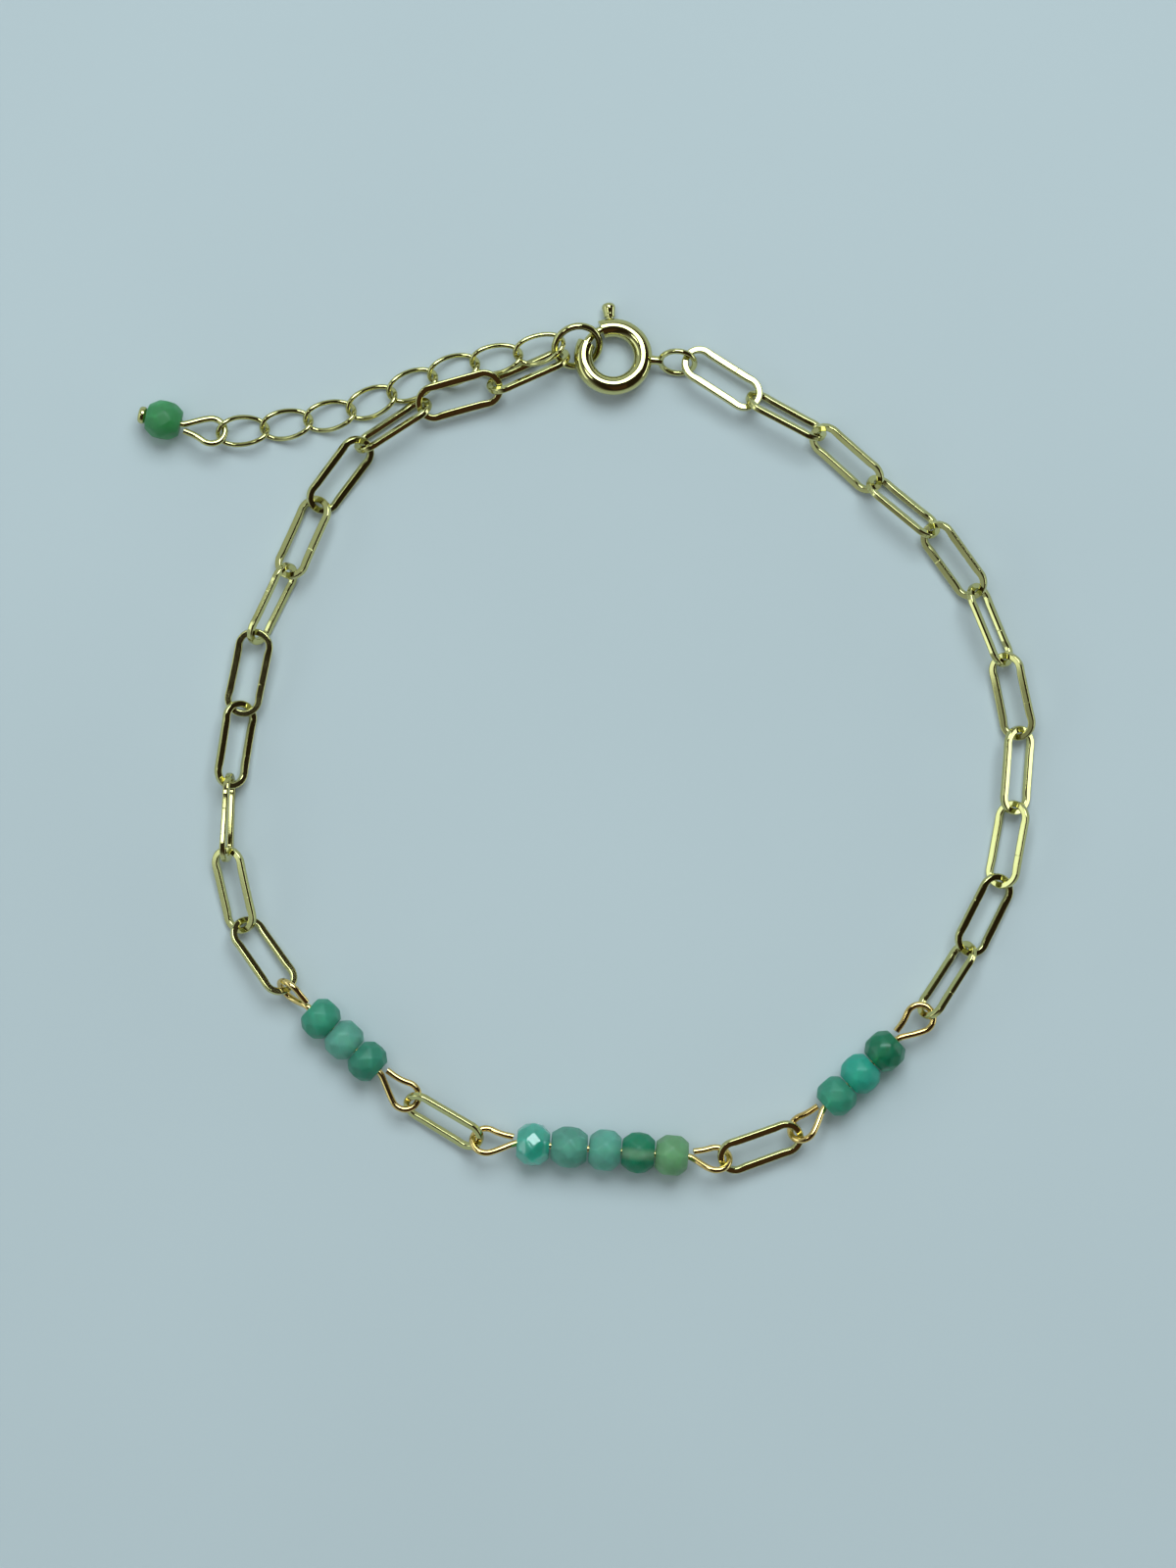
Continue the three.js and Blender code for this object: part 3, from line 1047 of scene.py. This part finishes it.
@dataclass(frozen=True)
class CutBead:
    """One cut bead: its node, tone, size, the turn of its facets and its own small irregularity."""

    node: str
    stone: Stone
    length: float
    diameter: float
    turn: float
    seed: int
    finish: StoneFinish
    rhombs: int = 8
    rhomb_half: float = 0.6
    table: float = 0.62
    hole: float = 0.56
    skew: float = 0.02
    tumble_cuts: int = 6
    tumble_turns: int = 2
    shortest_edge: float = 0.14
    # Half width and offset of the band that carries the painted glow along the wire.
    wire_glow_half: float = 0.32
    wire_glow_at: float = 0.05
    end_tilt: float = 0.015

    def facets(self) -> list[tuple[Vector, Vector]]:
        """List the planes that the cutter grinds, each as a point and an outward normal.

        Returns:
            Planes of the rhombs, of the triangles beside them, of the crowns and of the two ends.
        """
        rng = random.Random(self.seed)
        radius = self.diameter / 2
        step = 2 * math.pi / self.rhombs
        inner = radius * math.cos(step / 2)
        rim = self.table * radius

        def on(x: float, away: float, slot: float) -> Vector:
            """Give a point at a height, distance and slot round the bead."""
            angle = slot * step + math.radians(self.turn)
            return Vector((x, away * math.sin(angle), -away * math.cos(angle)))

        planes = []
        for i in range(self.rhombs):
            planes.append((on(0.0, inner, i), on(0.0, 1.0, i)))
            for end in (1, -1):
                girdle = on(0.0, radius, i + 0.5)
                low = on(end * self.rhomb_half, inner, i)
                high = on(end * self.rhomb_half, inner, i + 1)
                planes.append((girdle, (low - girdle).cross(high - girdle) * end))
                top = on(end * self.length / 2, rim, i)
                planes.append((low, (top - low).cross(high - low) * -end))
        for end in (1, -1):
            planes.append((on(end * self.length / 2, 0.0, 0.0), Vector((end, 0.0, 0.0))))
        ground = []
        for point, normal in planes:
            normal = normal.normalized()
            slack = self.end_tilt if abs(normal.x) > 0.99 else self.skew
            lean = Vector([rng.uniform(-1, 1) for _ in range(3)]) * slack
            if normal.dot(point) < 0:
                normal = -normal
            depth = 0.0 if abs(normal.x) > 0.99 else rng.uniform(0.0, 1.0) * self.skew
            ground.append((point - normal * depth, (normal + lean).normalized()))
        return ground

    def model(self) -> Piece:
        """Grind the bead from a blank, paint a reflection tone on each facet, tumble its edges round, paint a
        glow along the wire where it has one, and drill it.

        Returns:
            The bead about the origin, drilled along X.
        """
        bead = rod(self.diameter / 2, self.length, -self.length / 2, 48)
        start_edit(bead)
        for point, normal in self.facets():
            select_whole()
            bpy.ops.mesh.bisect(plane_co=point, plane_no=normal, use_fill=True, clear_outer=True)
        select_whole()
        bpy.ops.mesh.remove_doubles(threshold=self.shortest_edge)
        select_whole()
        bpy.ops.mesh.dissolve_limited(angle_limit=math.radians(1.0))
        select_whole()
        bpy.ops.mesh.normals_make_consistent(inside=False)
        end_edit()
        # Painted reflection tone, one per facet.
        self.paint_facet_light(bead)
        start_edit(bead)
        select_whole()
        bpy.ops.mesh.quads_convert_to_tris(quad_method="BEAUTY", ngon_method="BEAUTY")
        bpy.ops.mesh.subdivide(number_cuts=self.tumble_cuts)
        select_whole()
        bpy.ops.mesh.vertices_smooth(factor=0.5, repeat=self.tumble_turns)
        end_edit()
        # Painted glow along the wire, on beads that have one.
        if self.finish.wire_glow > 0:
            self.paint_wire_glow(bead)
        carve(bead, rod(self.hole / 2, 2 * self.length, -self.length, 20), "DIFFERENCE")
        smooth(bead, 60.0)
        return bead

    def paint_facet_light(self, bead: Piece) -> None:
        """Paint each facet its own light tone, a painted internal reflection.

        Args:
            bead: Ground bead.
        """
        rng = random.Random(self.seed + 100)
        tones = bead.data.color_attributes.new(PAINTED_FACET_LIGHT, "FLOAT_COLOR", "CORNER")
        for facet in bead.data.polygons:
            tone = rng.uniform(0.45, 0.55)
            for corner in facet.loop_indices:
                tones.data[corner].color = (tone, 0.0, 0.0, 1.0)

    def paint_wire_glow(self, bead: Piece) -> None:
        """Give each corner its nearness to the band along the wire where a pale glow of light through the
        stone is painted.

        Args:
            bead: Tumbled bead.
        """
        tones = bead.data.color_attributes[PAINTED_FACET_LIGHT]
        for i, corner in enumerate(bead.data.loops):
            off = abs(bead.data.vertices[corner.vertex_index].co.y - self.wire_glow_at)
            near = min(1.0, max(0.0, 1.5 - off / self.wire_glow_half))
            tones.data[i].color = (tones.data[i].color[0], near, 0.0, 1.0)

    def build(self, shop: Workshop, along: Vector) -> None:
        """Make the bead where its solid lies.

        Args:
            shop: Gives the finish.
            along: Direction of the wire through it.
        """
        middle = node_middle(self.node)
        bead = placed(self.model(), f"cut_{self.node}", Pose.level(middle, along))
        shop.stoned(bead, self.node, self.finish, self.stone)


@dataclass
class BeadBar:
    """A bar: a row of beads on one wire that is bent to an eye at both ends."""

    name: str
    beads: Sequence[CutBead]
    start: Eye
    end: Eye
    gap: float = 0.06

    def stack(self) -> float:
        """Give the length of the row of beads."""
        return sum(bead.length + self.gap for bead in self.beads) + self.gap

    def build(self, shop: Workshop) -> None:
        """Make the wire and its beads.

        Args:
            shop: Gives the finishes.
        """
        first = node_middle(self.beads[0].node)
        last = node_middle(self.beads[-1].node)
        along = (last - first).normalized()
        half = self.stack() / 2
        middle = first + along * (half - self.gap - self.beads[0].length / 2)
        back = [Vector((-half - p.x, p.y, p.z)) for p in self.start.path(1)]
        front = [Vector((half + p.x, p.y, p.z)) for p in self.end.path(1)]
        wire = bent_wire([*reversed(back), *front], self.start.wire, closed=False)
        placed(wire, f"bent_{self.name}_wire", Pose.level(middle, along))
        shop.gilded(wire, f"{self.name}_wire", Metal.WARM)
        for bead in self.beads:
            bead.build(shop, along)


@dataclass
class BeadDrop:
    """The drop at the extender's end: one bead on a head pin with an eye."""

    bead: CutBead
    eye: Eye
    heading: float = 167.0
    gap: float = 0.06
    head_diameter: float = 1.22
    head_thickness: float = 0.45
    head_inset: float = 0.14
    head_rise: float = 0.06
    head_rounding: float = 0.38

    def head(self, at: float) -> Piece:
        """Shape the pin's flat head: a disc, drawn in at its outer face.

        Args:
            at: Where its inner face lies along X.

        Returns:
            The head.
        """
        head = rod(self.head_diameter / 2, self.head_thickness, at, 32)
        start_edit(head)
        select_where(head, "FACE", faces_out)
        bpy.ops.mesh.inset(thickness=self.head_diameter * self.head_inset, depth=self.head_rise)
        end_edit()
        soften_edges(head, self.head_thickness * self.head_rounding, 30.0, 4)
        return head

    def build(self, shop: Workshop) -> None:
        """Make the pin and its bead.

        Args:
            shop: Gives the finishes.
        """
        turn = math.radians(self.heading)
        along = Vector((math.cos(turn), math.sin(turn), 0.0))
        middle = node_middle(self.bead.node)
        half = self.bead.length / 2 + self.gap
        back = [Vector((-half - p.x, p.y, p.z)) for p in self.eye.path(-1)]
        tip = Vector((half + self.head_thickness / 2, 0.0, 0.0))
        pin = bent_wire([*reversed(back), tip], self.eye.wire, closed=False)
        carve(pin, self.head(half), "UNION")
        smooth(pin, 40.0)
        placed(pin, "head_pin_of_drop", Pose.level(middle, along))
        shop.gilded(pin, "drop_pin", Metal.PALE)
        self.bead.build(shop, along)


@dataclass
class SpringRingClasp:
    """The clasp: a hollow ring with its gap and thumb slot, neck, tail ring and sliding trigger."""

    ring_radius: float = 2.1
    tube_radius: float = 0.65
    bore_radius: float = 0.31
    gap: tuple[float, float] = (118.0, 158.0)
    slot: tuple[float, float] = (48.0, 106.0)
    slot_height: float = 0.58
    neck_radius: float = 0.36
    neck_end: float = 3.45
    neck_waist: tuple[tuple[float, float], ...] = ((0.3, 0.92), (0.5, 0.84), (0.7, 0.92))
    tail_radius: float = 1.2
    tail_wire: float = 0.4
    tail_x: float = 4.54
    tail_roll: float = 65.0
    bolt_radius: float = 0.27
    bolt: tuple[float, float] = (92.0, 162.0)
    knob_at: float = 100.0
    stem_radius: float = 0.25
    knob_radius: float = 0.48
    knob: tuple[float, float] = (2.86, 3.88)
    knob_shape: tuple[tuple[float, float], ...] = (
        (0.0, 0.8),
        (0.2, 0.8),
        (0.25, 0.9),
        (0.2, 1.0),
        (0.16, 0.96),
        (0.12, 0.74),
        (0.07, 0.4),
    )

    def pose(self) -> Pose:
        """Read the clasp's place from the trigger's joint."""
        joint = frame["joints"][0]
        axis = Vector(joint["axis"]).normalized()
        along = Vector((axis.y, -axis.x, 0.0)).normalized()
        return Pose(Vector(joint["pos_m"]) / MM, along, axis.cross(along))

    @staticmethod
    def torus(radius: float, section: float, segments: int, sides: int) -> Piece:
        """Add a ring of round section about Z.

        Args:
            radius: Radius of the ring.
            section: Radius of its section.
            segments: Steps round the ring.
            sides: Sides of the section.

        Returns:
            The ring.
        """
        clear_selection()
        bpy.ops.mesh.primitive_torus_add(
            major_segments=segments, minor_segments=sides, major_radius=radius, minor_radius=section
        )
        return bpy.context.object

    @staticmethod
    def sector(angles: tuple[float, float], inner: float, outer: float, height: float) -> Piece:
        """Sweep an upright plate round Z into a sector.

        Args:
            angles: Where it starts and ends, in degrees.
            inner: Inner radius.
            outer: Outer radius.
            height: Height, half above and half below.

        Returns:
            The sector.
        """
        clear_selection()
        bpy.ops.mesh.primitive_plane_add(size=1.0, rotation=(math.pi / 2, 0, 0))
        plate = bpy.context.object
        settle()
        start_edit(plate)
        bpy.ops.transform.resize(value=(outer - inner, 1.0, height), center_override=(0, 0, 0))
        bpy.ops.transform.translate(value=((outer + inner) / 2, 0.0, 0.0))
        bpy.ops.mesh.select_mode(type="FACE")
        spun(plate, Vector(), angles[1] - angles[0], 10)
        end_edit()
        plate.data.transform(Matrix.Rotation(math.radians(angles[0]), 4, "Z"))
        weld(plate)
        return plate

    def neck(self) -> Piece:
        """Shape the neck between ring and tail: a short rod drawn in at its waist.

        Returns:
            The neck.
        """
        start = self.ring_radius + self.tube_radius * 0.75
        length = self.neck_end - start
        neck = rod(self.neck_radius, length, start, 24)
        start_edit(neck)
        for share, _ in self.neck_waist:
            select_whole()
            bpy.ops.mesh.bisect(plane_co=(start + share * length, 0, 0), plane_no=(1, 0, 0))
        for share, waist in self.neck_waist:
            at = start + share * length
            select_where(neck, "VERT", lambda corner, at=at: abs(corner.co.x - at) < 0.01)
            bpy.ops.transform.resize(value=(1.0, waist, waist), center_override=(at, 0, 0))
        end_edit()
        return neck

    def body(self) -> Piece:
        """Make the hollow ring with its openings, neck and tail in one piece.

        Returns:
            The body about the origin.
        """
        outside = self.ring_radius + 2 * self.tube_radius
        body = self.torus(self.ring_radius, self.tube_radius, 128, 32)
        tail = self.torus(self.tail_radius, self.tail_wire / 2, 56, 16)
        roll = Matrix.Rotation(math.radians(self.tail_roll), 4, "X")
        tail.data.transform(Matrix.Translation((self.tail_x, 0.0, 0.0)) @ roll)
        carve(body, self.neck(), "UNION")
        carve(body, tail, "UNION")
        carve(body, self.torus(self.ring_radius, self.bore_radius, 128, 20), "DIFFERENCE")
        gap = self.sector(self.gap, self.ring_radius / 2, outside, 4 * self.tube_radius)
        carve(body, gap, "DIFFERENCE")
        slot = self.sector(self.slot, self.ring_radius + self.bore_radius / 2, outside, self.slot_height)
        carve(body, slot, "DIFFERENCE")
        soften_edges(body, 0.07, 45.0, 3)
        smooth(body, 45.0)
        return body

    def trigger(self) -> Piece:
        """Make the curved bolt with its stem and thumb knob in one piece.

        Returns:
            The trigger about the origin.
        """
        clear_selection()
        bpy.ops.mesh.primitive_circle_add(
            vertices=20, radius=self.bolt_radius, fill_type="NGON", rotation=(math.pi / 2, 0, 0)
        )
        bolt = bpy.context.object
        settle()
        start_edit(bolt)
        bpy.ops.transform.translate(value=(self.ring_radius, 0.0, 0.0))
        bpy.ops.mesh.select_mode(type="FACE")
        spun(bolt, Vector(), self.bolt[1] - self.bolt[0], 24)
        end_edit()
        bolt.data.transform(Matrix.Rotation(math.radians(self.bolt[0]), 4, "Z"))
        weld(bolt)
        carve(bolt, self.thumb_knob(), "UNION")
        soften_edges(bolt, 0.03, 50.0)
        smooth(bolt, 45.0)
        return bolt

    def thumb_knob(self) -> Piece:
        """Shape the stem and knob: a thin rod, widened, drawn out and domed.

        Returns:
            The knob at its place round the ring.
        """
        start, end = self.knob
        stem = start - self.ring_radius
        knob = rod(self.stem_radius, stem, self.ring_radius, 24)
        start_edit(knob)
        select_where(knob, "FACE", faces_out)
        reached, radius = start, self.stem_radius
        for step, share in self.knob_shape:
            grown = share * self.knob_radius
            rise = step * (end - start)
            reached += rise
            bpy.ops.mesh.extrude_region_move(TRANSFORM_OT_translate={"value": (rise, 0.0, 0.0)})
            scale = grown / radius
            bpy.ops.transform.resize(value=(1.0, scale, scale), center_override=(reached, 0, 0))
            radius = grown
        end_edit()
        knob.data.transform(Matrix.Rotation(math.radians(self.knob_at), 4, "Z"))
        weld(knob)
        return knob

    def build(self, shop: Workshop) -> None:
        """Make the clasp.

        Args:
            shop: Gives the finish.
        """
        pose = self.pose()
        shop.gilded(placed(self.body(), "clasp_ring_with_tail", pose), "clasp_body", Metal.PALE)
        trigger = placed(self.trigger(), "clasp_bolt_with_knob", pose)
        shop.gilded(trigger, "clasp_trigger", Metal.PALE, TRIGGER)


@dataclass
class EndRing:
    """The round ring that the clasp is hooked into."""

    radius: float = 1.6
    wire: float = 0.5
    steps: int = 72

    def build(self, shop: Workshop) -> None:
        """Make the ring.

        Args:
            shop: Gives the finish.
        """
        turns = [2 * math.pi * i / self.steps for i in range(self.steps)]
        path = [Vector((self.radius * math.cos(t), self.radius * math.sin(t), 0.0)) for t in turns]
        ring = bent_wire(path, self.wire, closed=True, sides=18)
        placed(ring, "jump_end_ring", Pose.of_ring("end_ring"))
        shop.gilded(ring, "end_ring", Metal.PALE)


BOTTLE_GREEN = (0.01, 0.32, 0.16)
LEAF_GREEN = (0.08, 0.4, 0.14)
MOSS_GREEN = (0.25, 0.5, 0.25)
SEA_GREEN = (0.07, 0.44, 0.29)
TEAL = (0.04, 0.55, 0.4)
MINT = (0.2, 0.56, 0.43)

CLEAR_BOTTLE = StoneFinish(BOTTLE_GREEN, clearness=0.72, roughness=0.32)
# Bottle green with a painted pale glow along the wire.
WIRE_GLOW_BOTTLE = StoneFinish(BOTTLE_GREEN, wire_glow=0.85, wire_glow_tone=(0.30, 0.52, 0.32))
POLISHED_TEAL = StoneFinish(TEAL, gloss=0.85, glint=1.9)
DARK_SEA = StoneFinish(SEA_GREEN, lightness=0.85)
DARK_MINT = StoneFinish(MINT, lightness=0.9)
SOFT_MINT = StoneFinish(MINT, lightness=0.95)

BARS = (
    BeadBar(
        "bar_right",
        (
            CutBead("bar_right_bead_1", Stone.DEEP_GREEN, 2.3, 3.0, 2.0, 1, CLEAR_BOTTLE),
            CutBead("bar_right_bead_2", Stone.TEAL, 2.25, 3.0, -4.0, 2, StoneFinish(TEAL)),
            CutBead("bar_right_bead_3", Stone.SEA_GREEN, 2.2, 2.95, 5.0, 3, StoneFinish(SEA_GREEN)),
        ),
        Eye(3.0, 3.1),
        Eye(38.0, 3.05),
    ),
    BeadBar(
        "bar_centre",
        (
            CutBead("bar_centre_bead_1", Stone.LEAF_GREEN, 2.3, 3.05, 3.0, 4, StoneFinish(MOSS_GREEN)),
            CutBead("bar_centre_bead_2", Stone.DEEP_GREEN, 2.3, 3.05, -5.0, 5, WIRE_GLOW_BOTTLE),
            CutBead("bar_centre_bead_3", Stone.PALE_TEAL, 2.25, 3.1, 0.0, 6, StoneFinish(MINT)),
            CutBead("bar_centre_bead_4", Stone.SEA_GREEN, 2.55, 3.1, -3.0, 7, DARK_MINT),
            CutBead("bar_centre_bead_5", Stone.TEAL, 2.3, 3.1, 15.0, 8, POLISHED_TEAL, tumble_turns=1),
        ),
        Eye(38.0, 2.85),
        Eye(30.0, 3.15),
    ),
    BeadBar(
        "bar_left",
        (
            CutBead("bar_left_bead_1", Stone.LEAF_GREEN, 2.18, 3.0, -4.0, 9, DARK_SEA),
            CutBead("bar_left_bead_2", Stone.PALE_TEAL, 2.18, 2.95, 3.0, 10, SOFT_MINT),
            CutBead("bar_left_bead_3", Stone.SEA_GREEN, 2.18, 3.0, 0.0, 11, StoneFinish(SEA_GREEN)),
        ),
        Eye(5.0, 3.4),
        Eye(-65.0, 2.6),
    ),
)
DROP = BeadDrop(
    CutBead("drop_bead_1", Stone.LEAF_GREEN, 2.45, 2.9, 0.0, 12, StoneFinish(LEAF_GREEN)), Eye(20.0, 3.1)
)


# Studio


@dataclass(frozen=True)
class SoftBox:
    """One soft light: where it stands, its size, strength and colour."""

    name: str
    azimuth: float
    elevation: float
    distance: float
    size: tuple[float, float]
    power: float
    colour: Tone
    mirrored: bool = True

    def build(self) -> None:
        """Add the light, facing the object."""
        turn = math.radians(self.azimuth)
        rise = math.radians(self.elevation)
        flat = math.cos(rise) * self.distance
        spot = Vector((flat * math.cos(turn), flat * math.sin(turn), math.sin(rise) * self.distance))
        lamp = bpy.data.lights.new(self.name, "AREA")
        lamp.shape = "RECTANGLE"
        lamp.size, lamp.size_y = self.size
        lamp.energy = self.power
        lamp.color = self.colour
        stand = bpy.data.objects.new(self.name, lamp)
        stand.visible_glossy = self.mirrored
        stand.location = spot
        stand.rotation_euler = (-spot).to_track_quat("-Z", "Y").to_euler()
        bpy.context.scene.collection.objects.link(stand)


@dataclass
class Studio:
    """Floor, light and camera."""

    floor_size: float = 1.6
    floor_drop: float = 0.00004
    floor_mottle: float = 0.04
    floor_colour: Tone = (0.523, 0.575, 0.59)
    sensor: float = 36.0
    frame_height: float = 0.1103
    camera_height: float = 0.36
    aim: tuple[float, float] = (0.108, -3.159)
    dark_side: tuple[float, float, float] = (0.5, -0.3, 0.81)
    horizon_rise: float = 2.2
    room_tones: tuple[tuple[float, Tone], ...] = (
        (0.0, (0.46, 0.55, 0.57)),
        (0.22, (0.25, 0.28, 0.28)),
        (0.42, (0.075, 0.072, 0.066)),
        (0.6, (0.024, 0.017, 0.012)),
    )
    boxes: tuple[SoftBox, ...] = (
        SoftBox("north_window", 80.0, 56.0, 0.8, (0.6, 0.42), 4.8, (0.80, 0.95, 1.0)),
        SoftBox("brown_wall", -72.0, 53.0, 0.9, (0.45, 0.7), 0.035, (1.0, 0.42, 0.22)),
        SoftBox("west_skylight", 165.0, 66.5, 0.9, (0.2, 0.14), 0.4, (0.84, 0.96, 1.0)),
        SoftBox("west_card", 182.0, 27.0, 0.75, (0.66, 0.2), 0.5, (0.84, 0.96, 1.0)),
        SoftBox("ceiling_fill", 90.0, 84.0, 1.2, (1.3, 1.3), 4.2, (0.82, 0.95, 1.0), mirrored=False),
        SoftBox("east_card", -2.0, 8.0, 0.75, (0.5, 0.15), 0.55, (0.84, 0.96, 1.0)),
    )

    def floor(self) -> None:
        """Lay the plain pale floor."""
        clear_selection()
        bpy.ops.mesh.primitive_plane_add(size=self.floor_size, location=(0, 0, -self.floor_drop))
        floor = bpy.context.object
        floor.name = "studio_floor"
        paint = bpy.data.materials.new("floor_paint")
        paint.use_nodes = True
        tree = paint.node_tree
        shader = tree.nodes["Principled BSDF"]
        shader.inputs["Roughness"].default_value = 0.75
        shader.inputs["Specular IOR Level"].default_value = 0.2
        place = add_node(tree, "ShaderNodeTexCoord")
        mottle = add_node(tree, "ShaderNodeTexNoise", {"Scale": 22.0})
        ends = {
            "A": (*(part * (1.0 - self.floor_mottle) for part in self.floor_colour), 1.0),
            "B": (*(part * (1.0 + self.floor_mottle) for part in self.floor_colour), 1.0),
        }
        tint = add_node(tree, "ShaderNodeMix", ends, data_type="RGBA")
        join(
            tree,
            (place, "Object", mottle, "Vector"),
            (mottle, "Fac", tint, "Factor"),
            (tint, "Result", shader, "Base Color"),
        )
        floor.data.materials.append(paint)

    def room(self) -> None:
        """Give the room its tone: dark overhead, most of all on one side, and paler towards the horizon."""
        world = bpy.data.worlds.new("studio_room")
        bpy.context.scene.world = world
        world.use_nodes = True
        tree = world.node_tree
        sky = tree.nodes["Background"]
        way = add_node(tree, "ShaderNodeTexCoord")
        darkest = {1: Vector(self.dark_side).normalized()}
        lean = add_node(tree, "ShaderNodeVectorMath", darkest, operation="DOT_PRODUCT")
        ramp = add_node(tree, "ShaderNodeValToRGB")
        steps = ramp.color_ramp.elements
        while len(steps) < len(self.room_tones):
            steps.new(0.5)
        for step, (place, tone) in zip(steps, self.room_tones):
            step.position = place
            step.color = (*tone, 1.0)
        split = add_node(tree, "ShaderNodeSeparateXYZ")
        rise = add_node(tree, "ShaderNodeMath", {1: self.horizon_rise}, operation="MULTIPLY", use_clamp=True)
        fall = add_node(tree, "ShaderNodeMath", operation="MULTIPLY")
        join(
            tree,
            (way, "Generated", lean, 0),
            (way, "Generated", split, "Vector"),
            (split, "Z", rise, 0),
            (rise, "Value", fall, 0),
            (lean, "Value", fall, 1),
            (fall, "Value", ramp, "Fac"),
            (ramp, "Color", sky, "Color"),
        )

    def camera(self) -> None:
        """Set the camera straight above, framed as in the photograph."""
        view = bpy.data.cameras.new("top_view")
        view.sensor_fit = "VERTICAL"
        view.sensor_height = self.sensor
        view.lens = self.sensor * self.camera_height / self.frame_height
        view.clip_start = 0.01
        stand = bpy.data.objects.new("top_view", view)
        stand.location = (self.aim[0] * MM, self.aim[1] * MM, self.camera_height)
        bpy.context.scene.collection.objects.link(stand)
        bpy.context.scene.camera = stand

    def build(self) -> None:
        """Set up floor, room, lights and camera."""
        self.floor()
        self.room()
        for box in self.boxes:
            box.build()
        self.camera()
        bpy.context.scene.view_settings.view_transform = "Standard"


def main() -> None:
    """Set up the studio, then build the bracelet piece by piece."""
    logging.basicConfig(level=logging.INFO, format="%(name)s %(message)s")
    Studio().build()
    shop = Workshop()
    DrawnChain().build(shop)
    SpringRingClasp().build(shop)
    EndRing().build(shop)
    Extender().build(shop)
    for bar in BARS:
        bar.build(shop)
    DROP.build(shop)
    clear_selection()


if __name__ == "__main__":
    main()
